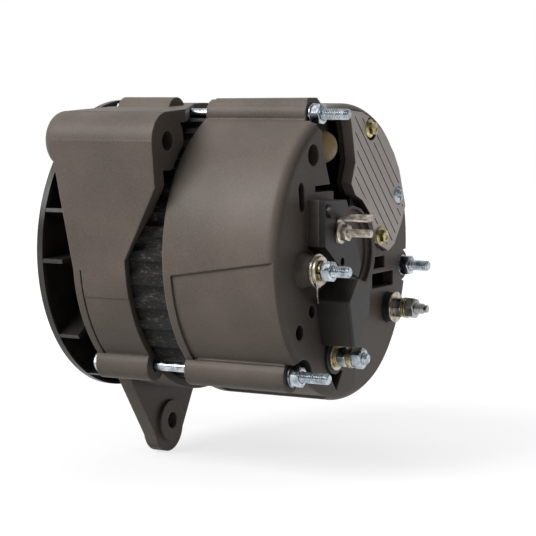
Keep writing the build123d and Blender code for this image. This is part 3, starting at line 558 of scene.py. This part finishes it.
def buildCan(look):
    # a rounded outline pushed along Y, drawn in towards its middle at the seam and where the end is bevelled
    outline = roundedOutline(look["corners"], look["round"], 4)
    middle = outline.mean(0)
    y0, y1 = look["y"]
    e, deep = look["edge"], look["seamDeep"]
    heights = np.array((y0, *(y1 - below for below in look["seam"]), y1 - e, y1 - 0.3 * e, y1))
    inset = np.array((0, 0, deep, deep, 0, 0, 0.3 * e, e)) / look["middleR"]
    flat = middle + (outline - middle) * (1 - inset.reshape(-1, 1, 1))
    grid = np.stack((flat[..., 0], np.repeat(heights.reshape(-1, 1), len(outline), 1), flat[..., 1]), -1)
    makePiece("suppressorCase", [(grid, False)], "suppressor", sharp=14)


buildCan(can)

cap = dict(at=(14.0, 55.5), r=8.5, base=142.0, shoulder=147.2, top=154.8, seam=(0.5, 0.3), seamDeep=0.25)


def buildCap(look):
    # a straight skirt, a thin seam, then a quarter ellipse of radius by cosine and height by sine
    r, shoulder = look["r"], look["shoulder"]
    t = np.linspace(0, np.pi / 2 * 0.985, 16)
    seamLow, seamHigh = (shoulder - below for below in look["seam"])
    skirt = plainRows((look["base"], seamLow, seamHigh, shoulder), (r, r, r - look["seamDeep"], r))
    dome = plainRows(shoulder + (look["top"] - shoulder) * np.sin(t), r * np.cos(t))
    makePiece("leadCapDomed", [(stacked(look["at"], skirt, dome), False)], "lead_cap")


buildCap(cap)

# shank and neck are a radius and a foot, flange a radius and an edge, neckTop a rise and a radius
coverScrew = dict(
    spots=((-24.6, 64.5, 155.0), (-35.8, 6.5, 156.0)), flats=6.4, twist=7.5, height=3.6, shank=(1.6, 144.6),
    neck=(4.2, 152.6), flange=(5.0, 0.1), rise=0.4, neckTop=(1.1, 3.9), hexStart=(0.8, 1.2), dish=0.5,
    dishRadii=(2.2, 1.7, 0.05))
# foot is pairs of a radius and a height over the seat
panScrew = dict(
    at=(-57.6, 27.3), seat=154.8, r=4.6, height=2.8, fall=0.6, slot=0.95, reach=3.2, deep=2.4,
    foot=((1.6, -8.0), (1.6, -2.0), (3.8, -2.0), (3.8, 0.0)))


def buildCoverScrews(look):
    # flange head: a sloped skirt under a trimmed hexagon with a shallow dish in its top
    shankR, y0 = look["shank"]
    neckR, y1 = look["neck"]
    flangeR, edge = look["flange"]
    neckRise, neckTopR = look["neckTop"]
    hexLow, hexKeep = look["hexStart"]
    heads = []
    for x, z, seat in look["spots"]:
        top = seat + look["height"]
        skirtHeights = (y0, y1, y1, seat, seat, seat + look["rise"], seat + neckRise)
        skirt = plainRows(skirtHeights, (shankR, shankR, neckR, neckR, flangeR - edge, flangeR, neckTopR))
        heights, radii = hexRows(seat + hexLow, top, look["flats"], look["twist"])
        keep = heights > seat + hexKeep
        dish = plainRows((top, top - look["dish"], top - look["dish"]), look["dishRadii"])
        heads.append((stacked((x, z), skirt, (heights[keep], radii[keep]), dish), False))
    makePiece("coverFlangeScrewHeads", heads, "cover_flange_screws")


def buildPanScrew(look):
    # pan head: height falls from the middle by the fourth power of the radius, less a cross where the smaller
    # offset is inside the slot
    x, z = look["at"]
    share = np.linspace(1, 0.01, 44).reshape(-1, 1)
    acrossX, acrossZ = look["r"] * share * np.sin(fineTurn), look["r"] * share * np.cos(fineTurn)
    dome = look["height"] * (1 - look["fall"] * share**4)
    small = np.minimum(np.abs(acrossX), np.abs(acrossZ)) / look["slot"]
    large = np.maximum(np.abs(acrossX), np.abs(acrossZ)) / look["reach"]
    cross = np.clip(1.5 * (1 - small**4), 0, 1) * np.clip(1.6 * (1 - large), 0, 1)
    upper = np.stack((x + acrossX, look["seat"] + dome - look["deep"] * cross, z + acrossZ), -1)
    footRadii, footHeights = zip(*look["foot"], (look["r"], 0.0))
    lower = around((x, z), look["seat"] + np.array(footHeights), footRadii, fineTurn)
    makePiece("coverPanScrewHead", [(np.concatenate((lower, upper)), False)], "cover_pan_screw")


buildCoverScrews(coverScrew)
buildPanScrew(panScrew)

fanPressing = dict(beads=((74.0, 1.6), (40.0, 2.2)), face=12.05, high=0.95, root=0.3)


def buildFanPressings(look):
    # rolled beads on the front of the disc: each is a half ring whose height is the sine across its width
    t = np.linspace(0, np.pi, 12)
    heights = np.append(look["face"] - look["high"] * np.sin(t), look["face"] + look["root"])
    rings = []
    for middle, half in look["beads"]:
        radii = np.append(middle - half * np.cos(t), middle)
        rings.append((around((0, 0), heights, radii, fineTurn), True))
    makePiece("fanRolledBeads", rings, None, "fan_paint", "rotor")


buildFanPressings(fanPressing)
print("strap, can, cap, cover screws and fan beads ready")

studio = dict(
    half=3.0, drop=0.0005, floorShade="#959595", glowReach=(0.15, 0.55), glow=(0.76, 1.0), ambient=0.15,
    ambientShade="#f6f7fa", wallFrom=(-0.6, -0.75, 0.2), wallReach=(-0.3, 0.6), wall=(0.16, 0.8))
camera = dict(place=(0.91834, 0.63379, 0.08394), azimuth=119.856, elevation=5.093, lens=132.8)
lamps = dict(
    keySoftBox=dict(place=(1.15, -0.45, 0.98), target=(0, 0.08, 0), side=0.8, power=23),
    topSoftBox=dict(place=(-0.1, -0.1, 1.7), target=(0, 0.08, 0), side=1.2, power=5),
    rearSoftBox=dict(place=(0.3, 1.5, 0.6), target=(0, 0.1, 0), side=0.8, power=0.8))


def lookDirection(azimuth, elevation):
    a, e = math.radians(azimuth), math.radians(elevation)
    return Vector((-math.sin(a) * math.cos(e), math.cos(a) * math.cos(e), -math.sin(e)))


def placeThing(thing, place, direction):
    # puts a camera or a lamp in the scene, facing along the direction
    bpy.context.scene.collection.objects.link(thing)
    thing.location = place
    thing.rotation_mode = "QUATERNION"
    thing.rotation_quaternion = direction.to_track_quat("-Z", "Y")


def buildCamera(look):
    data = bpy.data.cameras.new("studioCamera")
    data.lens = look["lens"]
    data.sensor_width = 36.0
    data.clip_start, data.clip_end = 0.05, 50.0
    shot = bpy.data.objects.new("studioCamera", data)
    placeThing(shot, look["place"], lookDirection(look["azimuth"], look["elevation"]))
    bpy.context.scene.camera = shot


def softBox(name, look):
    data = bpy.data.lights.new(name, "AREA")
    data.shape = "RECTANGLE"
    data.size, data.size_y = look["side"], look["side"]
    data.energy = look["power"]
    lamp = bpy.data.objects.new(name, data)
    placeThing(lamp, look["place"], Vector(look["target"]) - Vector(look["place"]))


def seenRay(tree, kinds):
    # one when the ray is any of these kinds
    paths = addNode(tree, "ShaderNodeLightPath")
    total = paths.outputs[kinds[0]]
    for kind in kinds[1:]:
        pair = {0: total, 1: paths.outputs[kind]}
        total = addNode(tree, "ShaderNodeMath", None, pair, operation="MAXIMUM").outputs[0]
    return total


def mixShaders(tree, factor, first, second):
    return addNode(tree, "ShaderNodeMixShader", None, {0: factor, 1: first, 2: second}).outputs[0]


def whiteFloor(name):
    # matte floor that takes the shadow; the camera and mirrors see it glow to white, fully so away from the part
    values = {"Base Color": hexColour(studio["floorShade"]), "Roughness": 0.9, "Specular IOR Level": 0.1}
    material, tree, shader, place = newMaterial(name, values)
    away = addNode(tree, "ShaderNodeVectorMath", None, {0: place}, operation="LENGTH").outputs["Value"]
    strength = {"Strength": remap(tree, away, studio["glowReach"], studio["glow"])}
    glow = addNode(tree, "ShaderNodeEmission", {"Color": (1, 1, 1, 1)}, strength).outputs[0]
    both = addNode(tree, "ShaderNodeAddShader", None, {0: shader.outputs[0], 1: glow}).outputs[0]
    seen = seenRay(tree, ("Is Camera Ray", "Is Glossy Ray", "Is Transmission Ray"))
    output = next(node for node in tree.nodes if node.type == "OUTPUT_MATERIAL")
    tree.links.new(mixShaders(tree, seen, shader.outputs[0], both), output.inputs["Surface"])
    return material


def buildFloor(height):
    half = studio["half"]
    mesh = bpy.data.meshes.new("studioFloor")
    corners = [(-half, -half, height), (half, -half, height), (half, half, height), (-half, half, height)]
    mesh.from_pydata(corners, [], [(0, 1, 2, 3)])
    floor = bpy.data.objects.new("studioFloor", mesh)
    bpy.context.scene.collection.objects.link(floor)
    floor.data.materials.append(whiteFloor("PaleFloor"))


def buildWorld(look):
    # even light on the part; white to the camera; to mirrors a white wall that fades round from one side
    world = bpy.data.worlds.new("studioWorld")
    bpy.context.scene.world = world
    world.use_nodes = True
    tree = world.node_tree
    tree.nodes.clear()
    plain = (1, 1, 1, 1)
    shade = {"Color": hexColour(look["ambientShade"]), "Strength": look["ambient"]}
    even = addNode(tree, "ShaderNodeBackground", shade).outputs[0]
    direction = {0: addNode(tree, "ShaderNodeTexCoord").outputs["Generated"]}
    behind = addNode(tree, "ShaderNodeVectorMath", {1: look["wallFrom"]}, direction, operation="DOT_PRODUCT")
    strength = {"Strength": remap(tree, behind.outputs["Value"], look["wallReach"], look["wall"])}
    mirrored = addNode(tree, "ShaderNodeBackground", {"Color": plain}, strength).outputs[0]
    white = addNode(tree, "ShaderNodeBackground", {"Color": plain, "Strength": 1.0}).outputs[0]
    lit = mixShaders(tree, seenRay(tree, ("Is Glossy Ray",)), even, mirrored)
    surface = mixShaders(tree, seenRay(tree, ("Is Camera Ray", "Is Transmission Ray")), lit, white)
    addNode(tree, "ShaderNodeOutputWorld", None, {"Surface": surface})


lowest = min(cadBox[0][2], cadBox[1][2])
buildFloor(lowest - studio["drop"])
buildWorld(studio)
buildCamera(camera)
for name, look in lamps.items():
    softBox(name, look)
bpy.context.scene.view_settings.view_transform = "Standard"
print("studio ready")
